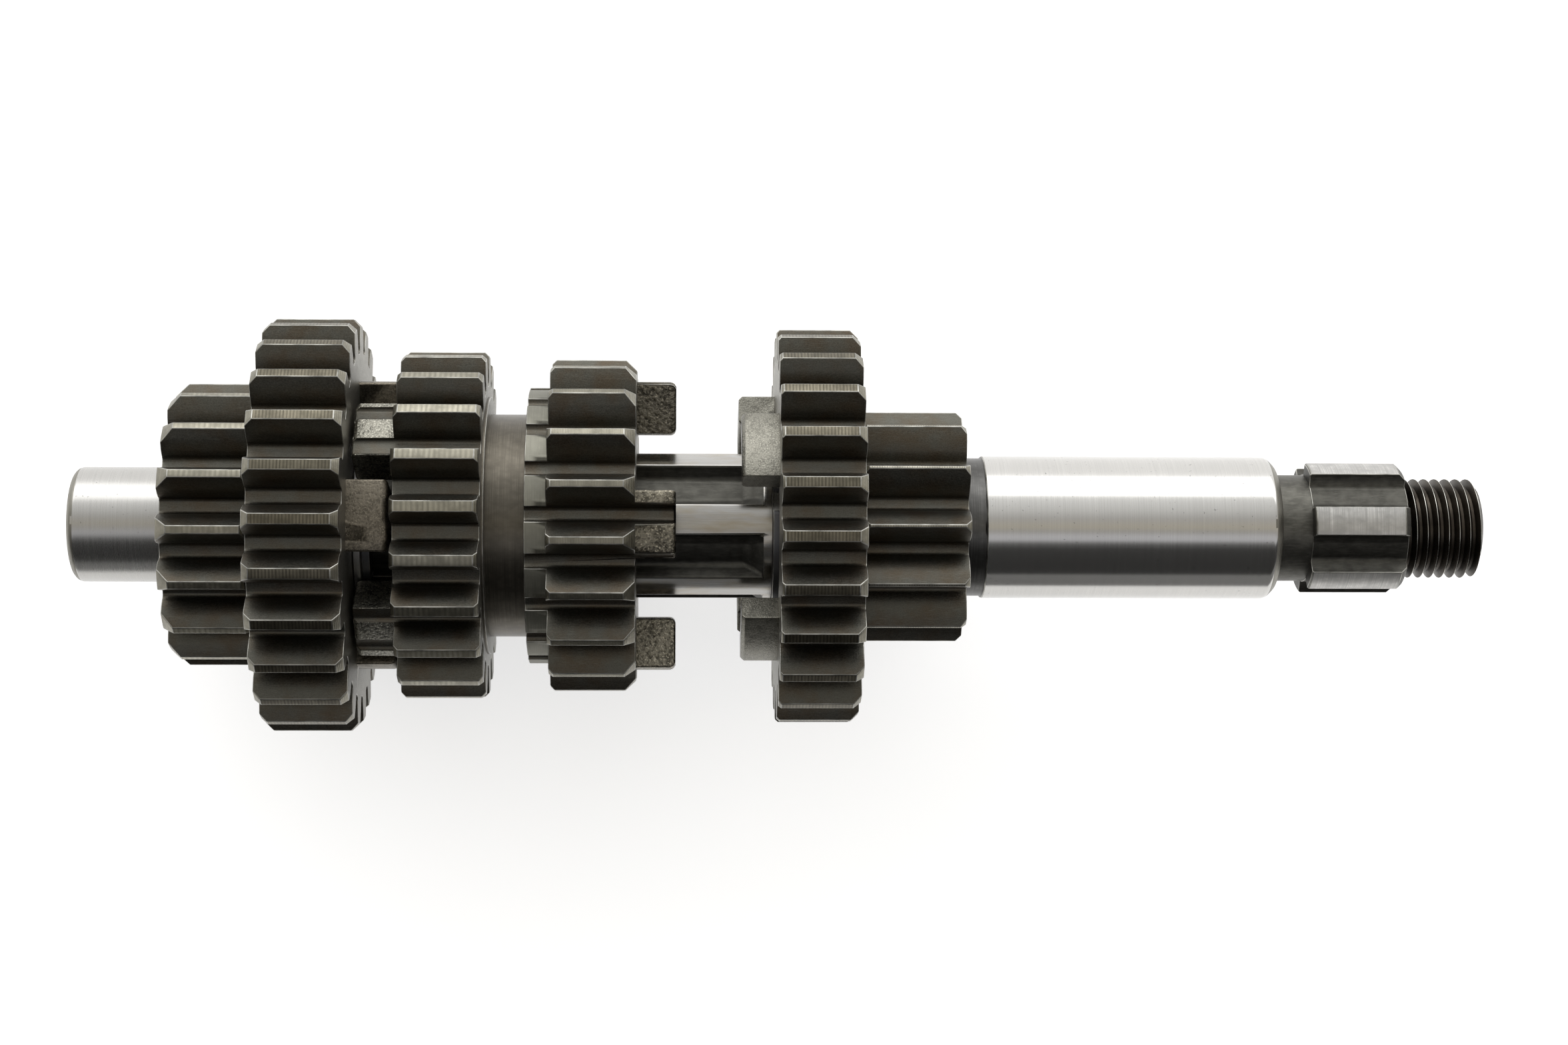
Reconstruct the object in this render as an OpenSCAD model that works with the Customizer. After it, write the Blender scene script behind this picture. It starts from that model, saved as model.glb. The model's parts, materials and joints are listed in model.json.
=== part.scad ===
// Transmission main shaft of a six-speed motorcycle gearbox, with its gears.
// X runs along the shaft towards the clutch thread and Z is up. The origin lies on the shaft's
// axis, where the ground clutch journal starts. Lengths are in millimetres, angles in degrees.

/* [Gear teeth] */
// Module of all the gears, 12 diametral pitch
gear_module = 2.117; // [1.9:0.001:2.4]
// Pressure angle
pressure_angle = 20; // [18:0.5:22.5]
// Tooth height above the pitch circle, in modules
addendum = 1; // [0.9:0.01:1.05]
// Tooth depth below the pitch circle, in modules
dedendum = 1.2; // [1.1:0.01:1.3]
// Radius where a tooth runs into its root
tooth_fillet = 0.55; // [0.3:0.05:0.6]

/* [First pinion, cut on the shaft] */
// Teeth of the first pinion
first_teeth = 12; // [11:1:14]
// Profile shift of the first pinion, in modules
first_shift = 0.6; // [0.4:0.01:0.6]
// Face width of the first pinion
first_w = 14.7; // [10:0.1:20]
// Chamfer at the first pinion's tooth ends
first_chamfer = 0.8; // [0.3:0.1:1]
// Angle of a first pinion tooth from straight up
first_phase = -0.5; // [-15:0.1:15]

/* [Second gear] */
// Teeth of the second gear
second_teeth = 16; // [15:1:18]
// Profile shift of the second gear, in modules
second_shift = 0.26; // [0:0.01:0.4]
// Face width of the second gear
second_w = 11.95; // [10:0.05:18]
// Large chamfer on the second gear's outer end
second_lead = 1.7; // [1:0.1:3]
// Chamfer on the second gear's inner end
second_chamfer = 0.5; // [0.3:0.1:1]
// Angle of a second gear tooth from straight up
second_phase = 1.95; // [-11:0.05:11]

/* [Third and fourth sliding gear] */
// Teeth of the fork-side small gear
third_teeth = 19; // [18:1:20]
// Profile shift of the small gear, in modules
third_shift = 0.46; // [0.2:0.01:0.5]
// Face width of the small gear
third_w = 11.9; // [9:0.1:15]
// Chamfer on the small gear's dog side
third_lead = 1.5; // [0.5:0.1:2]
// Angle of a small gear tooth from straight up
third_phase = 4.8; // [-9:0.1:9]
// Teeth of the large gear
fourth_teeth = 21; // [21:1:23]
// Profile shift of the large gear, in modules
fourth_shift = -0.05; // [-0.1:0.01:0.3]
// Face width of the large gear
fourth_w = 11.7; // [9:0.1:15]
// Angle of a large gear tooth from straight up
fourth_phase = -6.06; // [-8:0.01:8]
// Chamfer at the other tooth ends of the sliding gear
slider_chamfer = 0.6; // [0.3:0.1:1]
// Wall of the sliding hub under the fork groove
hub_wall = 5.1; // [4:0.1:6]
// Width of the shift fork groove
fork_w = 5.45; // [4.5:0.05:6]
// Height of the cheek on the large gear's side of the groove
cheek_h = 2.45; // [1.5:0.05:3]
// Width of that cheek
cheek_w = 0.35; // [0.3:0.05:1]
// Height of the step on the small gear's side of the groove
step_h = 3.75; // [2:0.05:4]
// Width of that step
step_w = 3; // [2:0.05:5]
// Travel of the sliding gear from the sixth gear's dogs to the fifth gear's dogs
slider_travel = 13.5; // [12:0.1:14]

/* [Fifth gear] */
// Teeth of the fifth gear
fifth_teeth = 24; // [23:1:25]
// Profile shift of the fifth gear, in modules
fifth_shift = 0.03; // [-0.1:0.01:0.2]
// Face width of the fifth gear's toothed rim
fifth_w = 11.4; // [10:0.1:14]
// Depth of the pocket round the fifth gear's hub
fifth_pocket = 1.6; // [1.2:0.1:2]
// Chamfer at the fifth gear's pinion side
fifth_lead = 1.1; // [0.5:0.1:1.5]
// Chamfer at the fifth gear's dog side
fifth_chamfer = 0.4; // [0.2:0.1:1]
// Angle of a fifth gear tooth from straight up
fifth_phase = 2.6; // [-7:0.1:7]

/* [Sixth gear] */
// Teeth of the sixth gear
sixth_teeth = 25; // [24:1:26]
// Profile shift of the sixth gear, in modules
sixth_shift = 0.06; // [-0.1:0.01:0.2]
// Face width of the sixth gear
sixth_w = 12.7; // [10:0.1:15]
// Chamfer at the sixth gear's outer end
sixth_lead = 1; // [0.5:0.1:1.5]
// Chamfer at the sixth gear's dog side
sixth_chamfer = 1; // [0.3:0.1:1.3]
// Angle of a sixth gear tooth from straight up
sixth_phase = -1.65; // [-7:0.05:7]

/* [Dogs] */
// Dogs on each face
dog_count = 4; // [3:1:4]
// Gap between the dogs' ends and the face they run up to
dog_end_gap = 0.5; // [0.3:0.1:1]
// Bevel on the dogs' outer and inner end edges
dog_bevel = 0.5; // [0.2:0.1:0.8]
// Outer diameter of the sliding gear's dogs
slider_dog_d = 40.4; // [38:0.1:42]
// Angle that each of the sliding gear's dogs spans
slider_dog_span = 27.6; // [24:0.1:29]
// Length of the dogs on the small gear
third_dog_l = 5.45; // [4.5:0.05:6.5]
// Angle of a dog on the small gear from straight up
third_dog_phase = -0.3; // [-1:0.1:1]
// Length of the dogs on the large gear
fourth_dog_l = 5.55; // [4.5:0.05:6.5]
// Angle of a dog on the large gear from straight up
fourth_dog_phase = 48.5; // [46:0.1:50]
// Outer diameter of the sixth gear's dogs
sixth_dog_d = 40.2; // [38:0.1:42]
// Angle that each of the sixth gear's dogs spans
sixth_dog_span = 28.4; // [24:0.1:30]
// Length of the sixth gear's dogs
sixth_dog_l = 5.5; // [4.5:0.05:5.8]
// Angle of a sixth gear dog from straight up
sixth_dog_phase = -3.9; // [-5:0.1:0]
// Outer diameter of the fifth gear's dogs
fifth_dog_d = 39.6; // [37:0.1:42]
// Angle that each of the fifth gear's dogs spans
fifth_dog_span = 31.5; // [25:0.1:33]
// Length of the fifth gear's dogs
fifth_dog_l = 5.1; // [4.5:0.05:5.8]
// Angle of a fifth gear dog from straight up
fifth_dog_phase = -35.8; // [-37:0.1:-33]

/* [Shaft ends] */
// Diameter of the clutch journal
journal_d = 20; // [19.7:0.1:24]
// Length of the clutch journal
journal_l = 41.3; // [30:0.1:60]
// Rounded chamfer at the end of the clutch journal
journal_chamfer = 1.2; // [0.5:0.1:2]
// Depth of the grinding relief beside the first pinion
relief_depth = 0.3; // [0.1:0.05:0.5]
// Length of the grinding relief
relief_l = 2.75; // [2:0.05:5]
// Diameter of the neck between journal and clutch splines
neck_d = 15; // [14.5:0.1:15.1]
// Length of the neck
neck_l = 4.35; // [2:0.05:6]
// Clutch splines
clutch_splines = 6; // [6:1:8]
// Root diameter of the clutch splines
clutch_root_d = 15.2; // [14.6:0.1:16]
// Height of the clutch splines
clutch_spline_h = 1.75; // [1:0.05:2]
// Width of each clutch spline
clutch_spline_w = 4; // [3:0.1:4.5]
// Length of the clutch splines
clutch_spline_l = 13.5; // [10:0.1:20]
// Chamfer at the inner end of the clutch splines
clutch_spline_break = 0.2; // [0.1:0.05:0.5]
// Angle of a clutch spline from straight up
clutch_spline_phase = -6.4; // [-30:0.1:30]
// Outer diameter of the clutch nut's thread, 1.5 mm pitch
thread_d = 14; // [12:1:14]
// Length of the threaded end
thread_l = 10.85; // [10:0.05:18]
// Depth of the thread's run-out groove
thread_relief_depth = 0.5; // [0.3:0.05:1]
// Width of the run-out groove and height of the end chamfer
thread_relief_w = 1; // [0.5:0.1:2]
// Diameter of the outer journal
outer_journal_d = 16; // [14:0.1:18]
// Length of the outer journal
outer_journal_l = 14.05; // [10:0.05:25]
// Chamfer at the end of the outer journal
outer_chamfer = 0.8; // [0.3:0.1:1.5]
// Height of the step up to the second gear's seat
seat_step = 0.6; // [0.3:0.05:1]
// Mouth diameter of the centre drilling in both ends
centre_mouth_d = 6; // [4:0.5:8]
// Pilot diameter of the centre drilling
centre_pilot_d = 2.5; // [1.5:0.5:3]
// Depth of the pilot below the cone
centre_pilot_l = 3; // [2:0.5:5]

/* [Shaft splines] */
// Splines that carry the sliding gear
spline_count = 6; // [6:1:8]
// Height of the splines
spline_h = 1.85; // [1.2:0.05:2]
// Width of each spline
spline_w = 4.4; // [3:0.1:4.6]
// Angle of a spline from straight up
spline_phase = -5.3; // [-30:0.1:30]
// Length over which the spline grooves run out
spline_runout = 3; // [1:0.1:4]
// Plain land between the spline grooves and the circlip
circlip_land = 1.25; // [0.8:0.05:2]

/* [Bushes, washers and circlips] */
// Wall of the bushes that the free gears turn on
bush_wall = 1.25; // [0.8:0.05:1.6]
// How far the thrust washers reach past the bushes
washer_lip = 1.2; // [0.8:0.1:1.6]
// Thickness of the thrust washers beside the circlips
washer_t = 1; // [0.6:0.1:1.5]
// Thickness of the washer between second and sixth gear
second_washer_t = 0.8; // [0.5:0.1:1.5]
// Diameter of the washer between second and sixth gear
second_washer_d = 27; // [24:0.5:28]
// Thickness of the circlips
circlip_t = 1.2; // [0.8:0.1:1.5]
// Depth of the circlip grooves
circlip_groove = 0.75; // [0.4:0.05:1]
// Radial width of the circlips
circlip_w = 2.2; // [1.6:0.1:2.4]
// Angle left open between a circlip's ends
circlip_gap = 23; // [10:1:40]
// Angle of the fifth gear circlip's opening from straight up
fifth_circlip_phase = -22.5; // [-180:0.5:180]
// Angle of the sixth gear circlip's opening from straight up
sixth_circlip_phase = 150; // [-180:0.5:180]

/* [Fits] */
// Clearance on each side of a running or sliding fit
running_gap = 0.05; // [0.02:0.01:0.08]
// Clearance on each side of a seated ring
seat_gap = 0.02; // [0.01:0.01:0.05]
// Side play of the free gears at each end
gear_float = 0.1; // [0.05:0.05:0.2]
// Clearance between the washers and the dogs that pass over them
washer_dog_gap = 0.25; // [0.2:0.05:0.5]
// Chamfer at the mouths of the gear bores
bore_chamfer = 0.8; // [0.3:0.1:1]

/* [Hidden] */
$fn = 96;

flank_steps = 4;    // straight pieces that draw each involute flank
fillet_steps = 2;   // straight pieces that draw each root fillet
over = 0.15;        // how far a tooth outline runs past the blank that trims it
sink = 1;           // how far a dog reaches into the gear that carries it

// Radii across the shaft, from the outer journal up to the dogs
outer_journal_r = outer_journal_d / 2;
seat_r = outer_journal_r + seat_step;
spline_r = seat_r + spline_h;
groove_r = spline_r - circlip_groove;
bush_r = spline_r + bush_wall;
washer_r = bush_r + washer_lip;
slider_dog_ir = washer_r + washer_dog_gap;
sixth_dog_ir = slider_dog_ir + 0.35;
fifth_dog_ir = slider_dog_ir + 2.35;
fork_floor_r = spline_r + hub_wall;
journal_r = journal_d / 2;
relief_r = journal_r - relief_depth;
clutch_root_r = clutch_root_d / 2;
clutch_spline_r = clutch_root_r + clutch_spline_h;
thread_r = thread_d / 2;

// Places along the shaft, from the origin back to the outer end
x_pinion_r = -relief_l;
x_pinion_l = x_pinion_r - first_w;
x_fifth_r = x_pinion_l - gear_float;
x_fifth_l = x_fifth_r - fifth_w;
x_fifth_hub = x_fifth_l + fifth_pocket;
x_fifth_bush = x_fifth_hub - gear_float;
x_fifth_washer = x_fifth_bush - washer_t;
x_fifth_circlip = x_fifth_washer - circlip_t;
x_spline_r = x_fifth_circlip - circlip_land;
x_third_dogs = x_fifth_l - dog_end_gap - slider_travel;
x_third_r = x_third_dogs - third_dog_l;
x_third_l = x_third_r - third_w;
x_fork_r = x_third_l - step_w;
x_fork_l = x_fork_r - fork_w;
x_fourth_r = x_fork_l - cheek_w;
x_fourth_l = x_fourth_r - fourth_w;
x_fourth_dogs = x_fourth_l - fourth_dog_l;
x_sixth_r = x_fourth_dogs - dog_end_gap;
x_sixth_l = x_sixth_r - sixth_w;
x_sixth_washer = x_sixth_r + gear_float;
x_sixth_circlip = x_sixth_washer + washer_t;
x_spline_l = x_sixth_l - gear_float;
x_second_r = x_spline_l - second_washer_t;
x_second_l = x_second_r - second_w;
x_outer_end = x_second_l - outer_journal_l;

// Places along the shaft, from the origin out to the threaded end
x_neck = journal_l;
x_clutch_l = x_neck + neck_l;
x_clutch_r = x_clutch_l + clutch_spline_l;
x_thread_end = x_clutch_r + thread_l;

// Involute of an angle in degrees, as an angle in degrees
function involute(a) = tan(a) * 180 / PI - a;

function base_r(teeth) = gear_module * teeth / 2 * cos(pressure_angle);
function tip_r(teeth, shift) = gear_module * (teeth / 2 + addendum + shift);
function root_r(teeth, shift) = gear_module * (teeth / 2 - dedendum + shift);

// Half the angle that a tooth takes at radius r
function half_tooth(teeth, shift, r) =
    let (at_pitch = (90 + 2 * shift * tan(pressure_angle) * 180 / PI) / teeth,
         slope = r > base_r(teeth) ? acos(base_r(teeth) / r) : 0)
    at_pitch + involute(pressure_angle) - involute(slope);

// One side of a tooth from root to tip, as [angle from the tooth's middle, radius]
function flank(teeth, shift) =
    let (root = root_r(teeth, shift),
         base = base_r(teeth),
         start = max(base, root + tooth_fillet),
         foot = half_tooth(teeth, shift, start),
         roll_a = sqrt(max(0, pow(start, 2) - pow(base, 2))),
         roll_b = sqrt(pow(tip_r(teeth, shift) + over, 2) - pow(base, 2)))
    concat(
        [for (i = [0 : fillet_steps])
            let (turn = 90 * i / fillet_steps,
                 r = root + tooth_fillet * (1 - cos(turn)))
            [foot + tooth_fillet * (1 - sin(turn)) / r * 180 / PI, r]],
        start > root + tooth_fillet + 0.01 ? [[foot, start]] : [],
        [for (i = [1 : flank_steps])
            let (roll = roll_a + (roll_b - roll_a) * i / flank_steps,
                 r = sqrt(pow(roll, 2) + pow(base, 2)))
            [half_tooth(teeth, shift, r), r]]
    );

// The whole outline of a gear, with a tooth centred on the angle phase
function gear_outline(teeth, shift, phase) =
    let (side = flank(teeth, shift), last = len(side) - 1)
    [for (tooth = [0 : teeth - 1])
        for (p = concat([for (q = side) [-q[0], q[1]]], [for (i = [last : -1 : 0]) side[i]]))
            let (a = phase + tooth * 360 / teeth + p[0])
            [p[1] * cos(a), p[1] * sin(a)]];

// Stands a shape that was drawn along +Z on the shaft's axis, its angle 0 straight up
module along_shaft() {
    rotate([0, 90, 0]) rotate([0, 0, 180]) children();
}

// A turned disc from a to b, with a chamfer at each end
module disc(r, a, b, chamfer_a = 0, chamfer_b = 0) {
    rotate_extrude()
        polygon([
            [0, a], [r - chamfer_a, a], [r, a + chamfer_a],
            [r, b - chamfer_b], [r - chamfer_b, b], [0, b]
        ]);
}

// A flat ring from a to b
module ring(inner, outer, a, b) {
    rotate_extrude()
        translate([inner, a]) square([outer - inner, b - a]);
}

// Keeps of its children only what lies inside the outline of a gear
module toothed(teeth, shift, phase, a, b) {
    intersection() {
        union() children();
        translate([0, 0, a])
            linear_extrude(b - a) polygon(gear_outline(teeth, shift, phase));
    }
}

// A ring of dogs that stands on the face at place, and points along side: 1 or -1
module dogs(inner, outer, height, span, phase, place, side) {
    foot = place - side * sink;
    end = place + side * height;
    shoulder = end - side * dog_bevel;
    for (i = [0 : dog_count - 1])
        rotate(phase - span / 2 + i * 360 / dog_count)
            rotate_extrude(angle = span)
                polygon([
                    [inner, foot], [outer, foot], [outer, shoulder],
                    [outer - dog_bevel, end], [inner + dog_bevel, end], [inner, shoulder]
                ]);
}

// Cross-section of a splined shaft, or with a gap the bore that fits it
module spline_section(root, count, width, height, phase, gap = 0) {
    circle(root + gap);
    intersection() {
        circle(root + height + gap);
        for (i = [0 : count - 1])
            rotate(phase + i * 360 / count)
                translate([0, -width / 2 - gap])
                    square([root + height + gap + 1, width + 2 * gap]);
    }
}

// The splined bore from a to b that slides over the shaft's splines
module splined_bore(a, b) {
    translate([0, 0, a - 1])
        linear_extrude(b - a + 2)
            spline_section(seat_r, spline_count, spline_w, spline_h, spline_phase, running_gap);
}

// Conical mouths of a bore of radius r, at both ends
module bore_mouths(r, a, b) {
    wide = r + bore_chamfer;
    translate([0, 0, a - 0.01]) cylinder(h = bore_chamfer, r1 = wide, r2 = r);
    translate([0, 0, b - bore_chamfer + 0.01]) cylinder(h = bore_chamfer, r1 = r, r2 = wide);
}

// A lathe centre hole whose mouth is at place, drilled along side: 1 or -1
module centre_hole(place, side) {
    mouth = centre_mouth_d / 2;
    pilot = centre_pilot_d / 2;
    cone = (mouth - pilot) / tan(30);
    translate([0, 0, place]) scale([1, 1, side]) {
        translate([0, 0, -0.01]) cylinder(h = cone, r1 = mouth, r2 = pilot);
        cylinder(h = cone + centre_pilot_l, r = pilot);
    }
}

// The turned outline of the shaft, without teeth and splines
module turned_shaft() {
    rotate_extrude()
        polygon([
            [0, x_outer_end],
            [outer_journal_r - outer_chamfer, x_outer_end],
            [outer_journal_r, x_outer_end + outer_chamfer],
            [outer_journal_r, x_second_l],
            [seat_r, x_second_l],
            [seat_r, x_spline_r - spline_runout],
            [spline_r, x_spline_r],
            [spline_r, x_pinion_r],
            [relief_r, x_pinion_r],
            [relief_r, -relief_depth],
            [journal_r, 0],
            [journal_r, x_neck - journal_chamfer],
            [journal_r - journal_chamfer, x_neck],
            [neck_d / 2, x_neck],
            [neck_d / 2, x_clutch_l],
            [clutch_root_r, x_clutch_l],
            [clutch_root_r, x_clutch_r],
            [thread_r - thread_relief_depth, x_clutch_r],
            [thread_r - thread_relief_depth, x_clutch_r + thread_relief_w],
            [thread_r, x_clutch_r + thread_relief_w + thread_relief_depth],
            [thread_r, x_thread_end - thread_relief_w],
            [thread_r - thread_relief_w, x_thread_end],
            [0, x_thread_end]
        ]);
}

// The shaft, forged and turned in one piece with the first pinion
module main_shaft() {
    color([0.62, 0.61, 0.58]) along_shaft() difference() {
        union() {
            turned_shaft();
            translate([0, 0, x_spline_l])
                linear_extrude(x_spline_r - x_spline_l)
                    spline_section(seat_r, spline_count, spline_w, spline_h, spline_phase);
            toothed(first_teeth, first_shift, first_phase, x_pinion_l - 1, x_pinion_r + 1)
                disc(tip_r(first_teeth, first_shift), x_pinion_l, x_pinion_r,
                     first_chamfer, first_chamfer);
            intersection() {
                disc(clutch_spline_r, x_clutch_l, x_clutch_r,
                     clutch_spline_break, clutch_spline_h / 2);
                translate([0, 0, x_clutch_l])
                    linear_extrude(clutch_spline_l)
                        spline_section(clutch_root_r, clutch_splines, clutch_spline_w,
                                       clutch_spline_h + 1, clutch_spline_phase);
            }
        }
        ring(groove_r, spline_r + 1, x_fifth_circlip, x_fifth_washer);
        ring(groove_r, spline_r + 1, x_sixth_circlip, x_sixth_circlip + circlip_t);
        centre_hole(x_outer_end, 1);
        centre_hole(x_thread_end, -1);
    }
}

// The second gear, pressed on the seat beside the outer journal
module second_gear() {
    color([0.42, 0.40, 0.34]) along_shaft() difference() {
        toothed(second_teeth, second_shift, second_phase, x_second_l - 1, x_second_r + 1)
            disc(tip_r(second_teeth, second_shift), x_second_l, x_second_r,
                 second_lead, second_chamfer);
        disc(seat_r + seat_gap, x_second_l - 1, x_second_r + 1);
        bore_mouths(seat_r + seat_gap, x_second_l, x_second_r);
    }
}

module second_gear_washer() {
    color([0.55, 0.55, 0.53]) along_shaft()
        ring(seat_r + seat_gap, second_washer_d / 2, x_second_r, x_spline_l);
}

// The free sixth gear, with its dogs towards the sliding gear
module sixth_gear() {
    color([0.45, 0.42, 0.36]) along_shaft() difference() {
        union() {
            toothed(sixth_teeth, sixth_shift, sixth_phase, x_sixth_l - 1, x_sixth_r + 1)
                disc(tip_r(sixth_teeth, sixth_shift), x_sixth_l, x_sixth_r,
                     sixth_lead, sixth_chamfer);
            dogs(sixth_dog_ir, sixth_dog_d / 2, sixth_dog_l, sixth_dog_span,
                 sixth_dog_phase, x_sixth_r, 1);
        }
        disc(bush_r + running_gap, x_sixth_l - 1, x_sixth_r + 1);
        bore_mouths(bush_r + running_gap, x_sixth_l, x_sixth_r);
    }
}

// The splined bush under the sixth gear
module sixth_gear_bush() {
    color([0.60, 0.58, 0.52]) along_shaft() difference() {
        disc(bush_r, x_spline_l, x_sixth_washer);
        splined_bore(x_spline_l, x_sixth_washer);
    }
}

// A thrust washer from a to b, over the splines
module thrust_washer(a, b) {
    color([0.55, 0.55, 0.53]) along_shaft()
        ring(spline_r + running_gap, washer_r, a, b);
}

// An open ring in the circlip groove that starts at a
module circlip(a, phase) {
    color([0.25, 0.25, 0.27]) along_shaft()
        rotate(phase + circlip_gap / 2)
            rotate_extrude(angle = 360 - circlip_gap)
                translate([groove_r + seat_gap, a]) square([circlip_w, circlip_t]);
}

module sixth_gear_washer() {
    thrust_washer(x_sixth_washer, x_sixth_circlip);
}

module sixth_gear_circlip() {
    circlip(x_sixth_circlip, sixth_circlip_phase);
}

// The sliding gear: two toothed wheels, the fork groove and dogs on both faces
module third_fourth_gear() {
    fourth_tip = tip_r(fourth_teeth, fourth_shift);
    third_tip = tip_r(third_teeth, third_shift);
    color([0.44, 0.42, 0.37]) along_shaft() difference() {
        union() {
            toothed(fourth_teeth, fourth_shift, fourth_phase, x_fourth_dogs - 1, x_fourth_r + 1) {
                disc(fourth_tip, x_fourth_l, x_fourth_r, slider_chamfer, slider_chamfer);
                dogs(slider_dog_ir, slider_dog_d / 2, fourth_dog_l, slider_dog_span,
                     fourth_dog_phase, x_fourth_l, -1);
            }
            disc(fork_floor_r + cheek_h, x_fourth_r - sink, x_fork_l);
            disc(fork_floor_r, x_fork_l - sink, x_fork_r + sink);
            toothed(third_teeth, third_shift, third_phase, x_fork_r - 1, x_third_dogs + 1) {
                disc(fork_floor_r + step_h, x_fork_r, x_third_l + sink);
                disc(third_tip, x_third_l, x_third_r, slider_chamfer, third_lead);
                dogs(slider_dog_ir, slider_dog_d / 2, third_dog_l, slider_dog_span,
                     third_dog_phase, x_third_r, 1);
            }
        }
        splined_bore(x_fourth_l, x_third_r);
        bore_mouths(spline_r + running_gap, x_fourth_l, x_third_r);
    }
}

// The free fifth gear, with its dogs towards the sliding gear
module fifth_gear() {
    color([0.45, 0.42, 0.36]) along_shaft() difference() {
        union() {
            toothed(fifth_teeth, fifth_shift, fifth_phase, x_fifth_l - 1, x_fifth_r + 1)
                disc(tip_r(fifth_teeth, fifth_shift), x_fifth_l, x_fifth_r,
                     fifth_chamfer, fifth_lead);
            dogs(fifth_dog_ir, fifth_dog_d / 2, fifth_dog_l, fifth_dog_span,
                 fifth_dog_phase, x_fifth_l, -1);
        }
        disc(fifth_dog_ir, x_fifth_l - fifth_dog_l - 1, x_fifth_hub);
        disc(bush_r + running_gap, x_fifth_l, x_fifth_r + 1);
        bore_mouths(bush_r + running_gap, x_fifth_hub, x_fifth_r);
    }
}

// The plain bush under the fifth gear
module fifth_gear_bush() {
    color([0.60, 0.58, 0.52]) along_shaft()
        ring(spline_r + seat_gap, bush_r, x_fifth_bush, x_pinion_l);
}

module fifth_gear_washer() {
    thrust_washer(x_fifth_washer, x_fifth_bush);
}

module fifth_gear_circlip() {
    circlip(x_fifth_circlip, fifth_circlip_phase);
}

main_shaft();
second_gear();
second_gear_washer();
sixth_gear();
sixth_gear_bush();
sixth_gear_washer();
sixth_gear_circlip();
third_fourth_gear();
fifth_gear();
fifth_gear_bush();
fifth_gear_washer();
fifth_gear_circlip();
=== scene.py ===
"""Looks of the transmission main shaft: its steels, broken edges, thread and photo stage."""

import json
import math

import bmesh
import bpy
from bpy.props import FloatProperty, FloatVectorProperty, IntProperty, PointerProperty
from mathutils import Matrix, Vector


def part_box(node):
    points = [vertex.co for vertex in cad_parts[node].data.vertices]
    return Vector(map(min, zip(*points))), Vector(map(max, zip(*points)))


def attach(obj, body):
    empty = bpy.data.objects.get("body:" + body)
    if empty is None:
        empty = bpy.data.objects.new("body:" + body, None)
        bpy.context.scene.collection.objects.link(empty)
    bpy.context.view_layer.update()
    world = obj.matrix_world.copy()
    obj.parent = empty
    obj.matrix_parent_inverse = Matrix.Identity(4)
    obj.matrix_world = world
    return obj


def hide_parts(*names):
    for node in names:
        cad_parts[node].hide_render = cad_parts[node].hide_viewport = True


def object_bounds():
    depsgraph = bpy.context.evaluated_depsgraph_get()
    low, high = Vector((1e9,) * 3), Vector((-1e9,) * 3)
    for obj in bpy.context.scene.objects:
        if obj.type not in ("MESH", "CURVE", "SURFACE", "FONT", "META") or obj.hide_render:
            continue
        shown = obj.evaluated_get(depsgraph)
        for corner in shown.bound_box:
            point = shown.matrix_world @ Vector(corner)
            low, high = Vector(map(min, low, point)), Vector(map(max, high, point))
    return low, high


bl_info = {
    "name": "Transmission main shaft",
    "version": (1, 0, 0),
    "blender": (4, 5, 0),
    "location": "View3D > Sidebar > Gearbox shaft",
    "description": "Dresses a gearbox main shaft with turned, hobbed, forged and ground steel",
    "category": "Object",
}

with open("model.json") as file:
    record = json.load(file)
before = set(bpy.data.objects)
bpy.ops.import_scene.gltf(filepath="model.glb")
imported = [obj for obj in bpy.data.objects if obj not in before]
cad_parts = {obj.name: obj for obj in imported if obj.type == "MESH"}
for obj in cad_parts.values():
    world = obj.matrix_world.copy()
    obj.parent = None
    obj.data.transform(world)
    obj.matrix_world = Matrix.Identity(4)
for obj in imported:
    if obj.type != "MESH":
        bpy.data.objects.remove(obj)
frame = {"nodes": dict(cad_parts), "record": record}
CAD_BOX = [list(corner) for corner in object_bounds()]
MM = 0.001

# Diameters over the teeth in millimetres, by gear
TIP_D = {"first": 32.18, "second": 39.2, "third": 46.39, "fourth": 48.47, "fifth": 55.16, "sixth": 57.42}
# How deep under the tips of the teeth, or under the thread's crests, a face still counts as their top
TOP_DEPTH = 0.3 * MM

# Lengths of the dogs, which the node's box holds beside the gear itself
FOURTH_DOG_L = 5.55 * MM
THIRD_DOG_L = 5.45 * MM
FIFTH_DOG_L = 5.1 * MM
SIXTH_DOG_L = 5.5 * MM
# The fifth gear's dogs: their faces and their edges lie outside these radii
FIFTH_DOG_R = 15.4 * MM
FIFTH_DOG_EDGE_R = 15 * MM

# The sliding gear, from the fourth gear's face to where the third gear's half starts, and its radii
THIRD_STARTS = 14 * MM
SPLINED_BORE_R = 12 * MM
FORK_FLOOR_R = 18.1 * MM
# The notched step beside the fork groove: its stretch, counted from the third gear's half, and its radii
STEP_X = (-3 * MM, 9 * MM)
STEP_R = (18.9 * MM, 19.8 * MM)

# Stretches of the shaft, from and to
PINION = (-17.45 * MM, -2.75 * MM)
SPLINES = (-99.65 * MM, -29.55 * MM)
JOURNAL = (0, 41.3 * MM)
CLUTCH = (45.65 * MM, 59.15 * MM)
# The pinion and the tops of the long splines, and the tops of the clutch splines, lie outside these radii
SPLINE_TOP_R = 10.2 * MM
CLUTCH_TOP_R = 9 * MM
# An edge that runs further than this along the shaft is a spline's side, not its end
SPLINE_RUN = 5 * MM
# How far from a journal's end its chamfer reaches, and the radii that the chamfers' edges lie outside
CHAMFER_L = 1.5 * MM
JOURNAL_CHAMFER_R = 8.5 * MM
OUTER_CHAMFER_R = 6.5 * MM

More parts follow.
